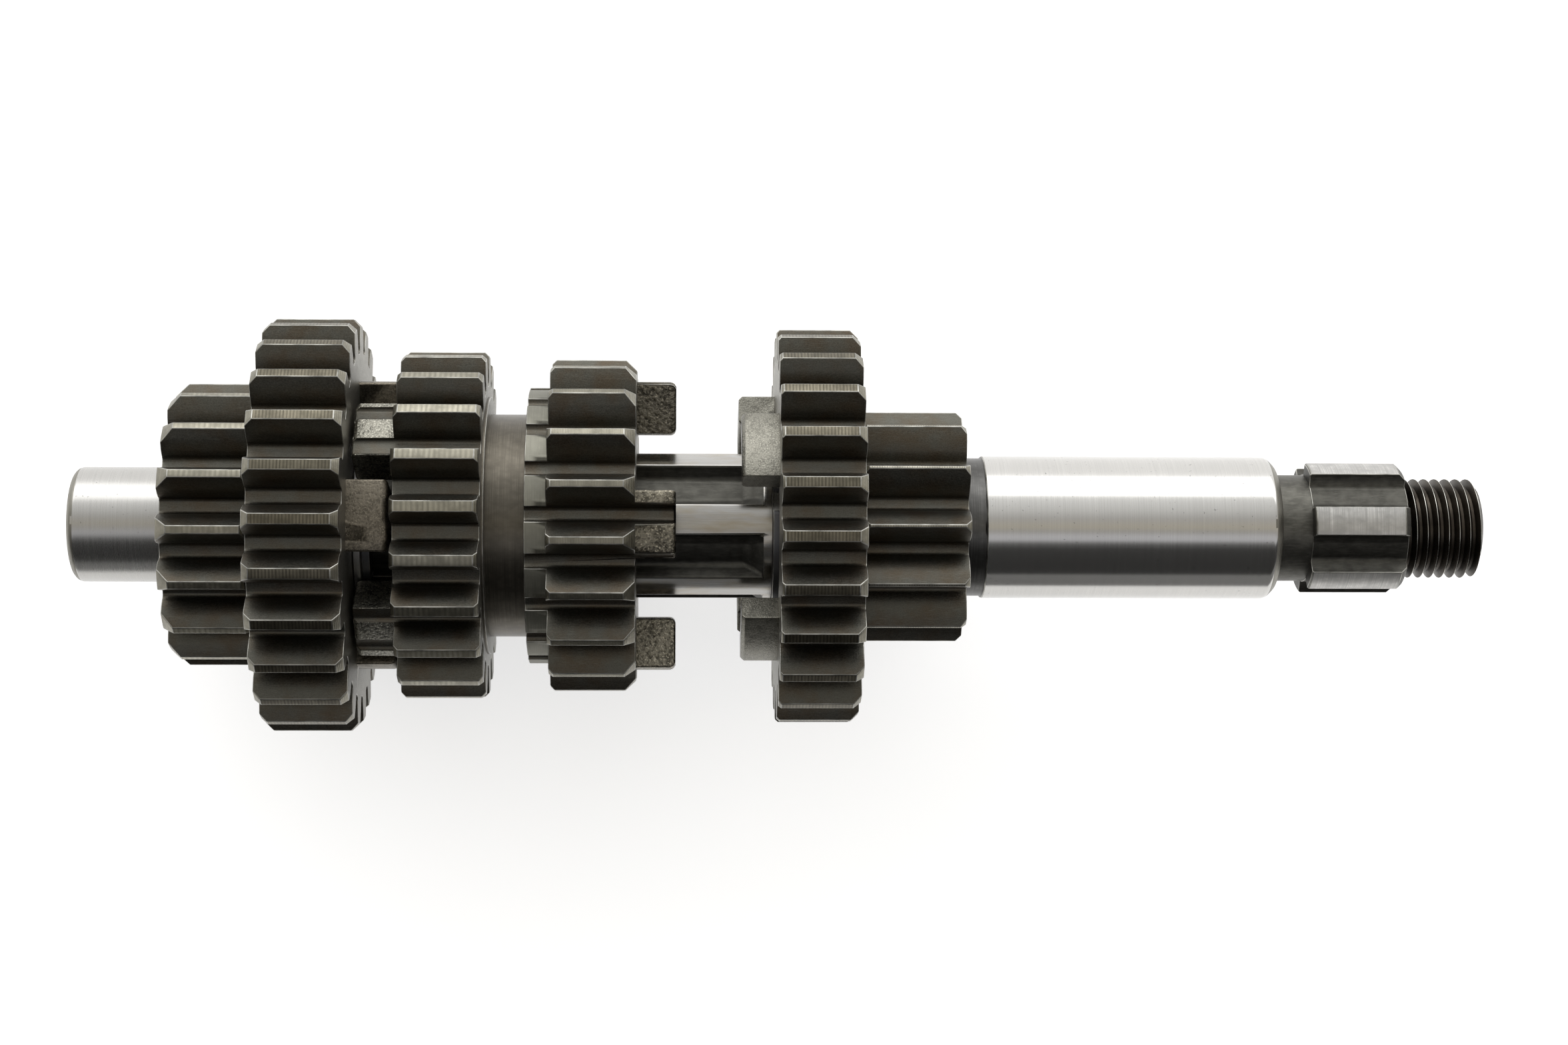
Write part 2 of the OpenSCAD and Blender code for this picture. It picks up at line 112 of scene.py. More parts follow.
# The thread's ridge: depth of its foot in the core, its crest's share of the pitch, and its sides' slope
THREAD_FOOT = 0.1 * MM
CREST_SHARE = 1 / 20
THREAD_SLOPE = math.radians(30)
# Where the ridge starts after the splines, how steeply it rises there, and the chamfer at the shaft's end
RUN_OUT = 0.9 * MM
RUN_OUT_RISE = 2
END_CHAMFER = 0.45 * MM

# How far past a boundary a face's or an edge's middle lies to count as beyond it
FACE_MARGIN = 0.1 * MM
EDGE_MARGIN = 0.05 * MM
FINE_MARGIN = 0.02 * MM
VERT_MARGIN = 0.01 * MM
# How straight a face looks along the shaft or away from its axis: 1 is straight, 0 is square to it
SQUARE_ON = 0.95
FAIRLY_STRAIGHT = 0.9
HALF_TURNED = 0.5
SLANTED = 0.3

# Points nearer and faces flatter than the first two are joined, and edges past the third shade sharp
MERGE_DISTANCE = 1e-7
FLAT_ANGLE = math.radians(0.3)
SHARP_SHADING = math.radians(40)
# Strips of faces across a rounded edge and across a broken one
ROUND_STRIPS = 3
BROKEN_STRIPS = 2

# The steels in the order of a piece's material slots.
# Where two of them meet, a rounded edge takes the one that comes first here.
STEELS = (
    "worn_edge_with_painted_highlight", "hobbed_flank", "faced_end", "ribbed_land", "patchy_land", "pinion_land", "fine_land",
    "pitted_dog", "sparkling_dog", "brown_dog", "smooth_dog", "notched_step", "fork_groove",
    "ground_steel", "outer_journal", "spline_land", "clutch_land", "milled_groove", "neck_skin",
    "relief_groove", "thread_steel", "worn_crest_with_painted_highlight", "ring_steel", "circlip_steel",
)

# The stage: where its middle lies along the shaft, and the floor's half side and paint
MIDDLE_X = -30 * MM
FLOOR_HALF = 3
FLOOR_WHITE = 0.93
# Cards on the near side: name, grey level, foot and top, then their distance, half width and roughness
CARDS = (("black_card", 0.02, 20 * MM, 160 * MM), ("grey_card", 0.22, CAD_BOX[0][2], 20 * MM))
CARD_Y = -100 * MM
CARD_HALF_W = 600 * MM
FELT_ROUGHNESS = 0.9
# The room's brightness from the near side, 0, to the window's side, 1
ROOM = (
    (0.0, (0.26, 0.26, 0.26)), (0.012, (0.1, 0.1, 0.1)), (0.03, (0.055, 0.055, 0.055)),
    (0.2, (0.07, 0.07, 0.07)), (0.275, (0.12, 0.12, 0.12)), (0.3, (0.3, 0.3, 0.3)),
    (0.325, (0.68, 0.68, 0.71)), (0.385, (0.66, 0.66, 0.68)), (0.44, (0.46, 0.45, 0.43)),
    (0.5, (0.58, 0.54, 0.45)), (0.62, (0.56, 0.55, 0.53)), (0.725, (0.79, 0.79, 0.77)),
    (0.82, (0.95, 0.95, 0.94)), (0.9, (1.12, 1.12, 1.1)),
)
# The camera's sensor in millimetres, and the nearest thing that it sees
SENSOR_W = 36
CLIP_START = 10 * MM


class ShapeSizes(bpy.types.PropertyGroup):
    """Sizes of the details that the scene adds to the solids."""

    broken_edge: FloatProperty(
        name="Broken edge", description="Width of the small bevel on every machined edge",
        default=0.1 * MM, unit="LENGTH",
    )
    sharp_angle: FloatProperty(
        name="Edge angle", description="Faces that meet at more than this angle get a broken edge",
        default=math.radians(34), subtype="ANGLE",
    )
    dog_edge: FloatProperty(
        name="Dog edge", description="Rounding of the third and sixth gears' dogs",
        default=0.35 * MM, unit="LENGTH",
    )
    crisp_edge: FloatProperty(
        name="Crisp edge", description="Rounding of the fourth and fifth gears' dogs",
        default=0.16 * MM, unit="LENGTH",
    )
    spline_edge: FloatProperty(
        name="Spline edge", description="Rounding along the sliding gear's splines",
        default=0.3 * MM, unit="LENGTH",
    )
    journal_edge: FloatProperty(
        name="Journal edge", description="Rounding where a journal runs into its chamfer",
        default=0.45 * MM, unit="LENGTH",
    )
    thread_pitch: FloatProperty(
        name="Thread pitch", description="Pitch of the clutch nut's thread",
        default=1.5 * MM, unit="LENGTH",
    )
    thread_r: FloatProperty(
        name="Thread radius", description="Radius over the thread's crests",
        default=7 * MM, unit="LENGTH",
    )
    thread_depth: FloatProperty(
        name="Thread depth", description="Height of the crests above the roots",
        default=0.92 * MM, unit="LENGTH",
    )
    thread_l: FloatProperty(
        name="Thread length", description="Stretch from the clutch splines to the end",
        default=10.85 * MM, unit="LENGTH",
    )
    thread_from_end: FloatProperty(
        name="Last crest", description="From the shaft's end to the last crest on top",
        default=0.575 * MM, unit="LENGTH",
    )
    thread_steps: IntProperty(
        name="Thread steps", description="Flat pieces in one turn of the thread", default=48, min=12,
    )


class SteelColours(bpy.types.PropertyGroup):
    """Colours of the shaft's different steel surfaces."""

    ground: FloatVectorProperty(
        name="Ground", description="Journals and spline lands",
        subtype="COLOR", default=(0.62, 0.61, 0.59),
    )
    land: FloatVectorProperty(
        name="Tooth land", description="Turned tips of the teeth",
        subtype="COLOR", default=(0.36, 0.34, 0.275),
    )
    ribbed: FloatVectorProperty(
        name="Ribbed land", description="Coarsely turned tips of the fifth and sixth gears' teeth",
        subtype="COLOR", default=(0.19, 0.172, 0.13),
    )
    flank: FloatVectorProperty(
        name="Tooth flank", description="Hobbed sides of the teeth",
        subtype="COLOR", default=(0.1, 0.097, 0.083),
    )
    tint: FloatVectorProperty(
        name="Heat tint", description="Brown tint left by hardening",
        subtype="COLOR", default=(0.096, 0.08, 0.06),
    )
    faced: FloatVectorProperty(
        name="Faced", description="Turned ends of the gears",
        subtype="COLOR", default=(0.26, 0.25, 0.22),
    )
    forged: FloatVectorProperty(
        name="Forged", description="Rough dogs of the fourth and fifth gears",
        subtype="COLOR", default=(0.3, 0.29, 0.25),
    )
    pitted: FloatVectorProperty(
        name="Pitted", description="Pitted dogs of the third gear",
        subtype="COLOR", default=(0.21, 0.192, 0.152),
    )
    browned: FloatVectorProperty(
        name="Browned", description="Brown dogs of the sixth gear",
        subtype="COLOR", default=(0.2, 0.178, 0.142),
    )
    step: FloatVectorProperty(
        name="Step", description="Notched step beside the fork groove",
        subtype="COLOR", default=(0.24, 0.235, 0.198),
    )
    fork: FloatVectorProperty(
        name="Fork groove", description="Turned floor of the fork groove",
        subtype="COLOR", default=(0.135, 0.122, 0.1),
    )
    milled: FloatVectorProperty(
        name="Milled", description="Floors of the spline grooves",
        subtype="COLOR", default=(0.072, 0.07, 0.062),
    )
    # Broken edges: brighter as worn steel, and partly a painted highlight along every edge
    edge: FloatVectorProperty(
        name="Edge", description="Bright broken edges",
        subtype="COLOR", default=(0.62, 0.61, 0.56),
    )
    thread: FloatVectorProperty(
        name="Thread", description="Clutch nut thread",
        subtype="COLOR", default=(0.066, 0.056, 0.045),
    )
    circlip: FloatVectorProperty(
        name="Circlip", description="Dark spring steel",
        subtype="COLOR", default=(0.12, 0.12, 0.13),
    )


class StageSettings(bpy.types.PropertyGroup):
    """Camera and light that match the photograph."""

    distance: FloatProperty(
        name="Camera distance", description="From the shaft's axis", default=394 * MM, unit="LENGTH",
    )
    lens: FloatProperty(
        name="Lens", description="Focal length on a 36 mm sensor", default=64.26, unit="CAMERA",
    )
    aim: FloatVectorProperty(
        name="Aim", description="Point in the middle of the view",
        subtype="XYZ", unit="LENGTH", default=(-27.75 * MM, 0.55 * MM, 0),
    )
    tilt: FloatProperty(
        name="Tilt", description="How far the thread end leans away",
        default=math.radians(2.2), subtype="ANGLE",
    )
    roll: FloatProperty(
        name="Roll", description="Turn of the picture", default=math.radians(0.185), subtype="ANGLE",
    )
    window_place: FloatVectorProperty(
        name="Window's place", description="Middle of the large soft lamp behind the shaft",
        subtype="XYZ", unit="LENGTH", default=(MIDDLE_X, 1.034, 0.35),
    )
    window_size: FloatVectorProperty(
        name="Window's size", description="Width and height of that lamp",
        size=2, unit="LENGTH", default=(3, 0.76),
    )
    window_power: FloatProperty(
        name="Window's power", description="Power of that lamp", default=10, unit="POWER",
    )
    floor_glow: FloatProperty(
        name="Floor's glow", description="Light that the floor adds where it is seen or mirrored",
        default=0.6, min=0,
    )


class Nodes:
    """A node tree, with short ways to add nodes to it and join them."""

    def __init__(self, tree):
        self.tree = tree

    def add(self, kind, **settings):
        """A new node with the given settings."""
        made = self.tree.nodes.new(kind)
        for name, value in settings.items():
            setattr(made, name, value)
        return made

    def put(self, socket, value):
        """Links value to a socket, or writes it there as a number."""
        if isinstance(value, bpy.types.NodeSocket):
            self.tree.links.new(value, socket)
        else:
            socket.default_value = value

    def maths(self, operation, first, second=0.0):
        """One Math node."""
        made = self.add("ShaderNodeMath", operation=operation)
        self.put(made.inputs[0], first)
        self.put(made.inputs[1], second)
        return made.outputs[0]

    def between(self, value, low, high, bottom=0.0, top=1.0):
        """Stretches value so that low becomes bottom and high becomes top, and goes no further."""
        made = self.add("ShaderNodeMapRange", clamp=True)
        self.put(made.inputs["Value"], value)
        numbers = {"From Min": low, "From Max": high, "To Min": bottom, "To Max": top}
        for name, number in numbers.items():
            made.inputs[name].default_value = number
        return made.outputs["Result"]


class Recipe(Nodes):
    """One steel: a Principled shader with pattern nodes on Object coordinates."""

    def __init__(self, name, colour, roughness):
        self.material = bpy.data.materials.new(name)
        self.material.use_nodes = True
        super().__init__(self.material.node_tree)
        self.shader = self.tree.nodes["Principled BSDF"]
        self.shader.inputs["Base Color"].default_value = (*colour, 1)
        self.shader.inputs["Roughness"].default_value = roughness
        self.shader.inputs["Metallic"].default_value = 1
        self.place = self.add("ShaderNodeTexCoord").outputs["Object"]

    def along(self):
        """Distance along the shaft."""
        made = self.add("ShaderNodeSeparateXYZ")
        self.put(made.inputs[0], self.place)
        return made.outputs["X"]

    def radius(self):
        """Distance from the shaft's axis."""
        flat = self.add("ShaderNodeVectorMath", operation="MULTIPLY")
        self.put(flat.inputs[0], self.place)
        flat.inputs[1].default_value = (0, 1, 1)
        made = self.add("ShaderNodeVectorMath", operation="LENGTH")
        self.put(made.inputs[0], flat.outputs[0])
        return made.outputs["Value"]

    def noise(self, size, detail=3.0, stretch=(1, 1, 1)):
        """Cloudy noise whose blotches are size metres across, drawn out by stretch."""
        sized = self.add("ShaderNodeMapping")
        self.put(sized.inputs["Vector"], self.place)
        sized.inputs["Scale"].default_value = [1 / (size * s) for s in stretch]
        made = self.add("ShaderNodeTexNoise")
        self.put(made.inputs["Vector"], sized.outputs[0])
        made.inputs["Scale"].default_value = 1
        made.inputs["Detail"].default_value = detail
        return made.outputs["Fac"]

    def waves(self, distance, pitch, wander):
        """Tool marks: a wave from 0 to 1 for every pitch metres of distance, which strays by wander."""
        phase = self.maths("MULTIPLY", distance, 2 * math.pi / pitch)
        strayed = self.maths("ADD", phase, self.maths("MULTIPLY", self.noise(3 * pitch), wander))
        return self.maths("ADD", self.maths("MULTIPLY", self.maths("SINE", strayed), 0.5), 0.5)

    def mix(self, share, first, second):
        """Blends two colours."""
        made = self.add("ShaderNodeMix", data_type="RGBA")
        self.put(made.inputs["Factor"], share)
        for name, value in (("A", first), ("B", second)):
            socket = next(s for s in made.inputs if s.name == name and s.type == "RGBA")
            self.put(socket, value if isinstance(value, bpy.types.NodeSocket) else (*value, 1))
        return next(s for s in made.outputs if s.type == "RGBA")

    def colour(self, value):
        """Gives the shader its colour."""
        self.put(self.shader.inputs["Base Color"], value)

    def roughness(self, value, low, high):
        """Lets a pattern from 0 to 1 run the roughness from low to high."""
        self.put(self.shader.inputs["Roughness"], self.between(value, 0, 1, low, high))

    def bump(self, height, depth, strength=1.0):
        """Raises the surface by depth metres where height is 1."""
        made = self.add("ShaderNodeBump")
        made.inputs["Distance"].default_value = depth
        made.inputs["Strength"].default_value = strength
        self.put(made.inputs["Height"], height)
        self.put(self.shader.inputs["Normal"], made.outputs[0])


def shade(colour, share):
    """The same colour at share of its brightness."""
    return tuple(channel * share for channel in colour)


def ground_steel(name, colour, low=0.12, high=0.22):
    """Cylindrically ground steel: bright, with very fine lines round the axis and a few dull specks."""
    steel = Recipe(name, colour, low)
    lines = steel.noise(0.05 * MM, detail=2, stretch=(1, 300, 300))
    clouds = steel.noise(6 * MM, detail=4, stretch=(0.5, 1, 1))
    specks = steel.between(steel.noise(0.45 * MM, detail=2), 0.69, 0.75)
    bright = steel.mix(clouds, shade(colour, 0.92), shade(colour, 1.04))
    scored = steel.mix(steel.between(lines, 0.3, 0.75), shade(colour, 0.86), bright)
    steel.colour(steel.mix(specks, scored, shade(colour, 0.55)))
    steel.roughness(lines, low, high)
    steel.bump(lines, 0.001 * MM)


def turned_land(name, colour, pitch, dark, wander):
    """The outer skin of a blank that was turned before its teeth were cut: lathe lines across the land.

    dark is the share of the colour that is left in the lines, wander how far they stray.
    """
    steel = Recipe(name, colour, 0.36)
    lines = steel.waves(steel.along(), pitch, wander)
    faint = steel.between(steel.noise(0.07 * MM, detail=2, stretch=(1, 60, 60)), 0.2, 0.6)
    stains = steel.between(steel.noise(1.9 * MM, detail=5), 0.4, 0.72)
    worn = steel.mix(stains, colour, shade(colour, 0.55))
    steel.colour(steel.mix(steel.maths("MULTIPLY", lines, faint), worn, shade(colour, dark)))
    steel.roughness(steel.noise(0.35 * MM), 0.24, 0.46)
    steel.bump(lines, 0.015 * MM, strength=0.7)


def hobbed_flank(name, colour, tint):
    """The sides and roots of the teeth: dark satin steel, grained, browned in patches by hardening."""
    steel = Recipe(name, colour, 0.42)
    patches = steel.between(steel.noise(3.5 * MM, detail=5), 0.4, 0.66)
    grain = steel.between(steel.noise(0.14 * MM, detail=4, stretch=(1.4, 1, 1)), 0.3, 0.7)
    scratches = steel.between(steel.noise(0.1 * MM, detail=3, stretch=(12, 1, 1)), 0.55, 0.8)
    hollows = steel.mix(patches, shade(colour, 0.75), shade(tint, 0.75))
    grains = steel.mix(patches, shade(colour, 1.2), shade(tint, 1.2))
    sandy = steel.mix(grain, hollows, grains)
    steel.colour(steel.mix(scratches, sandy, shade(colour, 1.35)))
    steel.roughness(grain, 0.34, 0.5)
    steel.bump(grain, 0.006 * MM, strength=0.9)


def faced_end(name, colour):
    """A flat end that was faced on the lathe: rings round the axis."""
    steel = Recipe(name, colour, 0.4)
    rings = steel.waves(steel.radius(), 0.3 * MM, 1)
    stains = steel.noise(3 * MM, detail=4)
    steel.colour(steel.mix(stains, shade(colour, 0.7), shade(colour, 1.15)))
    steel.roughness(steel.noise(0.5 * MM), 0.3, 0.5)
    steel.bump(rings, 0.01 * MM, strength=0.6)


def forged_dog(name, colour, relief, grain_size, dark, bright, low=0.34, high=0.5):
    """A dog as it left the forge: fine grain, relief metres deep, with darker hollows and painted glints.

    dark and bright are the shares of the colour in the hollows and in the painted glints, bright specks
    that stand in for sparkle.
    """
    steel = Recipe(name, colour, low)
    grain = steel.noise(grain_size, detail=4)
    dents = steel.noise(4 * grain_size)
    height = steel.maths("ADD", grain, dents)
    # Painted glints: bright specks in the colour that stand in for the sparkle of light on the grain
    painted_glints = steel.between(steel.noise(0.6 * grain_size, detail=2), 0.56, 0.68)
    pitted = steel.mix(steel.between(height, 0.85, 1.1), shade(colour, dark), colour)
    steel.colour(steel.mix(painted_glints, pitted, shade(colour, bright)))
    steel.roughness(dents, low, high)
    steel.bump(height, relief)


def milled_groove(name, colour):
    """A rough milled floor with marks along the shaft and olive mottling."""
    steel = Recipe(name, colour, 0.45)
    marks = steel.noise(0.3 * MM, detail=4, stretch=(5, 1, 1))
    mottling = steel.between(steel.noise(1.4 * MM, detail=4), 0.35, 0.65)
    floor = steel.mix(mottling, shade(colour, 0.8), shade(colour, 1.15))
    steel.colour(steel.mix(steel.between(marks, 0.5, 0.8), floor, shade(colour, 1.5)))
    steel.roughness(marks, 0.36, 0.56)
    steel.bump(marks, 0.012 * MM, strength=0.8)


def turned_groove(name, colour, low=0.26, high=0.42):
    """A turned surface: fine lines round the axis, smeared in bands."""
    steel = Recipe(name, colour, 0.34)
    lines = steel.noise(0.08 * MM, detail=2, stretch=(1, 200, 200))
    smears = steel.between(steel.noise(1.2 * MM, detail=5, stretch=(1.5, 1, 1)), 0.35, 0.68)
    ribbed = steel.mix(steel.between(lines, 0.3, 0.7), shade(colour, 0.65), shade(colour, 1.2))
    steel.colour(steel.mix(smears, ribbed, shade(colour, 0.7)))
    steel.roughness(lines, low, high)
    steel.bump(lines, 0.004 * MM)


def rubbed_land(name, colour):
    """The top of a spline, polished lengthwise by the gears that slide on it, with warmer stains."""
    steel = Recipe(name, colour, 0.18)
    streaks = steel.noise(0.18 * MM, stretch=(24, 1, 1))
    stains = steel.between(steel.noise(1.4 * MM, detail=4, stretch=(4, 1, 1)), 0.45, 0.7)
    rubbed = steel.mix(steel.between(streaks, 0.3, 0.7), shade(colour, 0.88), shade(colour, 1.05))
    warm = tuple(channel * share for channel, share in zip(colour, (0.86, 0.8, 0.7)))
    steel.colour(steel.mix(stains, rubbed, warm))
    steel.roughness(streaks, 0.12, 0.28)
    steel.bump(streaks, 0.003 * MM)


def notched_step(name, colour):
    """The matt light skin of the notched step beside the fork groove."""
    steel = Recipe(name, colour, 0.45)
    lines = steel.noise(0.1 * MM, detail=2, stretch=(1, 60, 60))
    stains = steel.between(steel.noise(1.3 * MM, detail=4), 0.35, 0.7)
    skin = steel.mix(stains, shade(colour, 1.05), shade(colour, 0.8))
    steel.colour(steel.mix(steel.between(lines, 0.35, 0.7), shade(colour, 0.8), skin))
    steel.roughness(lines, 0.4, 0.52)
    steel.bump(lines, 0.006 * MM)


def plain_steel(name, colour, roughness, dull=0.85):
    """A small plain ring or a broken edge, in patches between its colour and its share dull."""
    steel = Recipe(name, colour, roughness)
    patches = steel.between(steel.noise(2.5 * MM, detail=4), 0.35, 0.65)
    steel.colour(steel.mix(patches, shade(colour, dull), shade(colour, 1.08)))
    steel.roughness(steel.noise(0.4 * MM), roughness * 0.8, roughness * 1.2)


def make_steels(colours):
    """All of STEELS, made on the first call and looked up after it."""
    if STEELS[0] not in bpy.data.materials:
        ground_steel("ground_steel", colours.ground)
        ground_steel("outer_journal", shade(colours.ground, 0.85), low=0.2, high=0.32)
        turned_land("ribbed_land", colours.ribbed, pitch=0.45 * MM, dark=0.4, wander=0.8)
        turned_land("pinion_land", shade(colours.land, 1.1), pitch=0.34 * MM, dark=0.35, wander=0.8)
        turned_land("patchy_land", colours.land, pitch=0.7 * MM, dark=0.6, wander=3)
        turned_land("fine_land", shade(colours.land, 0.8), pitch=0.21 * MM, dark=0.6, wander=1)
        hobbed_flank("hobbed_flank", colours.flank, colours.tint)
        faced_end("faced_end", colours.faced)
        # Each dog's bright share sets the strength of its painted glints
        forged_dog(
            "pitted_dog", colours.pitted, relief=0.12 * MM, grain_size=0.5 * MM, dark=0.4, bright=1.9,
            low=0.28, high=0.42,
        )
        forged_dog(
            "sparkling_dog", shade(colours.forged, 1.05), relief=0.12 * MM, grain_size=0.36 * MM,
            dark=0.4, bright=1.8,
        )
        forged_dog(
            "brown_dog", colours.browned, relief=0.04 * MM, grain_size=0.34 * MM, dark=0.6, bright=1.4,
        )
        forged_dog(
            "smooth_dog", shade(colours.forged, 0.75), relief=0.03 * MM, grain_size=0.26 * MM,
            dark=0.7, bright=1.5, low=0.26, high=0.4,
        )
        notched_step("notched_step", colours.step)
        milled_groove("milled_groove", colours.milled)
        milled_groove("neck_skin", shade(colours.milled, 1.5))
        rubbed_land("spline_land", shade(colours.ground, 0.72))
        turned_groove("clutch_land", shade(colours.ground, 0.95), low=0.3, high=0.42)
        turned_groove("fork_groove", colours.fork)
        turned_groove("relief_groove", shade(colours.ground, 0.2))
        # The broken edges: worn bright steel with a painted highlight along the edge
        plain_steel("worn_edge_with_painted_highlight", shade(colours.edge, 0.65), roughness=0.32, dull=0.45)
        plain_steel("thread_steel", colours.thread, roughness=0.42, dull=0.6)
        # Thread crests: worn bright steel with a painted highlight along the crest
        plain_steel("worn_crest_with_painted_highlight", shade(colours.edge, 0.8), roughness=0.28, dull=0.6)
        plain_steel("ring_steel", shade(colours.ground, 0.8), roughness=0.35)
        plain_steel("circlip_steel", colours.circlip, roughness=0.35)
    return bpy.data.materials


def describe(face):
    """Where a face lies and looks: place along the shaft, radius, how radial and how axial it is."""
    centre = face.calc_center_median()
    r = math.hypot(centre.y, centre.z)
    outward = (face.normal.y * centre.y + face.normal.z * centre.z) / max(r, MERGE_DISTANCE)
    return centre.x, r, outward, abs(face.normal.x)


def break_edges(mesh, sizes, rounder):
    """Bevels every sharp outer edge.

    rounder lists (test, width) pairs: edges whose x, radius and length pass a test are rounded to that
    width and keep their neighbours' steel, and all others get the plain broken edge in the edge steel,
    worn bright steel with a painted highlight.
    """
    done = set()
    for test, width in (*rounder, (lambda *place: True, None)):
        chosen = []
        for edge in mesh.edges:
            if len(edge.link_faces) != 2 or edge.calc_face_angle_signed(0) < sizes.sharp_angle:
                continue
            if any(face in done for face in edge.link_faces):
                continue
            first, last = (vert.co for vert in edge.verts)
            middle = (first + last) / 2
            if test(middle.x, math.hypot(middle.y, middle.z), abs(first.x - last.x)):
                chosen.append(edge)
        if not chosen:
            continue
        made = bmesh.ops.bevel(
            mesh, geom=chosen, offset=width or sizes.broken_edge, offset_type="OFFSET", affect="EDGES",
            segments=ROUND_STRIPS if width else BROKEN_STRIPS, profile=0.5, material=-1,
            clamp_overlap=False,
        )
        mesh.normal_update()
        done.update(made["faces"])
        # Plain broken edges take the first slot, the edge steel with its painted highlight
        if not width:
            for face in made["faces"]:
                face.material_index = 0


def dress(context, node, piece, paint, shape=None, rounder=()):
    """Makes the piece that stands for a node: its mesh merged, painted face by face and edged.

    paint takes describe()'s values and returns one of STEELS. shape, if given, changes the merged
    mesh before it is painted. rounder goes to break_edges.
    """
    library = make_steels(context.scene.shaft_colours)
    mesh = bmesh.new()
    mesh.from_mesh(frame["nodes"][node].data)
    bmesh.ops.remove_doubles(mesh, verts=mesh.verts[:], dist=MERGE_DISTANCE)
    bmesh.ops.dissolve_limit(
        mesh, angle_limit=FLAT_ANGLE, verts=mesh.verts[:], edges=mesh.edges[:],
        use_dissolve_boundaries=False,
    )
    if shape:
        shape(mesh)
    mesh.normal_update()
    painted = [paint(*describe(face)) for face in mesh.faces]
    slots = [steel for steel in STEELS if steel in painted or steel == "worn_edge_with_painted_highlight"]
    for face, steel in zip(mesh.faces, painted):
        face.material_index = slots.index(steel)
    break_edges(mesh, context.scene.shaft_sizes, rounder)
    bmesh.ops.recalc_face_normals(mesh, faces=mesh.faces[:])
    made = finish_piece(mesh, piece, node_body(node), [library[steel] for steel in slots])
    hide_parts(node)


def finish_piece(mesh, name, body, worn):
    """Turns a bmesh into a smooth-shaded object that wears these materials and rides on a body."""
    data = bpy.data.meshes.new(name)
    mesh.to_mesh(data)
    mesh.free()
    for material in worn:
        data.materials.append(material)
    data.polygons.foreach_set("use_smooth", [True] * len(data.polygons))
    data.set_sharp_from_angle(angle=SHARP_SHADING)
    made = bpy.data.objects.new(name, data)
    bpy.context.scene.collection.objects.link(made)
    weighted = made.modifiers.new("Flat faces stay flat", "WEIGHTED_NORMAL")
    weighted.keep_sharp = True
    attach(made, body)
    return made


def node_body(node):
    """The body that carries a node."""
    bodies = frame["record"]["behaviour"]["bodies"]
    return next(body for body, nodes in bodies.items() if node in nodes)


def tooth_paint(tip_d, land, x, r, outward, axial):
    """Steel of a face of a toothed wheel: faced end, turned chamfer, land or hobbed flank."""
    if axial > SQUARE_ON:
        return "faced_end"
    if axial > SLANTED:
        return "fine_land"
    if r > tip_d * MM / 2 - TOP_DEPTH and outward > FAIRLY_STRAIGHT:
        return land
    return "hobbed_flank"


class SHAFT_OT_second_gear(bpy.types.Operator):
    """Dress the pressed-on second gear"""

    bl_idname = "shaft.second_gear"
    bl_label = "Second gear"

    def execute(self, context):
        def paint(*place):
            return tooth_paint(TIP_D["second"], "patchy_land", *place)

        dress(context, "second_gear", "second_gear_wheel", paint)
        return {"FINISHED"}


class SHAFT_OT_sixth_gear(bpy.types.Operator):
    """Dress the free sixth gear and its dogs"""

    bl_idname = "shaft.sixth_gear"
    bl_label = "Sixth gear"

    def execute(self, context):
        sizes = context.scene.shaft_sizes
        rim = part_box("sixth_gear")[1].x - SIXTH_DOG_L

        def paint(x, *place):
            if x > rim + FACE_MARGIN:
                return "brown_dog"
            return tooth_paint(TIP_D["sixth"], "ribbed_land", x, *place)

        def on_dogs(x, *place):
            return x > rim + EDGE_MARGIN

        dress(context, "sixth_gear", "sixth_gear_wheel", paint, rounder=[(on_dogs, sizes.dog_edge)])
        return {"FINISHED"}


class SHAFT_OT_sliding_gear(bpy.types.Operator):
    """Dress the sliding third and fourth gear, its fork groove and its dogs"""

    bl_idname = "shaft.sliding_gear"
    bl_label = "Sliding gear"

    def execute(self, context):
        sizes = context.scene.shaft_sizes
        low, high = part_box("third_fourth_gear")
        fourth_face = low.x + FOURTH_DOG_L
        third_face = high.x - THIRD_DOG_L
        middle = fourth_face + THIRD_STARTS

        def on_step(x, r, outward):
            beside_groove = STEP_X[0] < x - middle < STEP_X[1]
            return beside_groove and STEP_R[0] < r < STEP_R[1] and outward > SQUARE_ON

        def paint(x, r, outward, axial):
            if x < fourth_face - FACE_MARGIN:
                return "sparkling_dog"
            if x > third_face + FACE_MARGIN:
                return "pitted_dog"
            if r < SPLINED_BORE_R and axial < HALF_TURNED:
                return "milled_groove"
            if r < FORK_FLOOR_R and outward > FAIRLY_STRAIGHT:
                return "fork_groove"
            if on_step(x, r, outward):
                return "notched_step"
            tip, land = ("fourth", "patchy_land") if x < middle else ("third", "fine_land")
            return tooth_paint(TIP_D[tip], land, x, r, outward, axial)

        def on_third_dogs(x, *place):
            return x > third_face + EDGE_MARGIN

        def on_fourth_dogs(x, *place):
            return x < fourth_face - EDGE_MARGIN

        dress(context, "third_fourth_gear", "third_fourth_wheel", paint,
              rounder=[(on_third_dogs, sizes.dog_edge), (on_fourth_dogs, sizes.crisp_edge)])
        return {"FINISHED"}


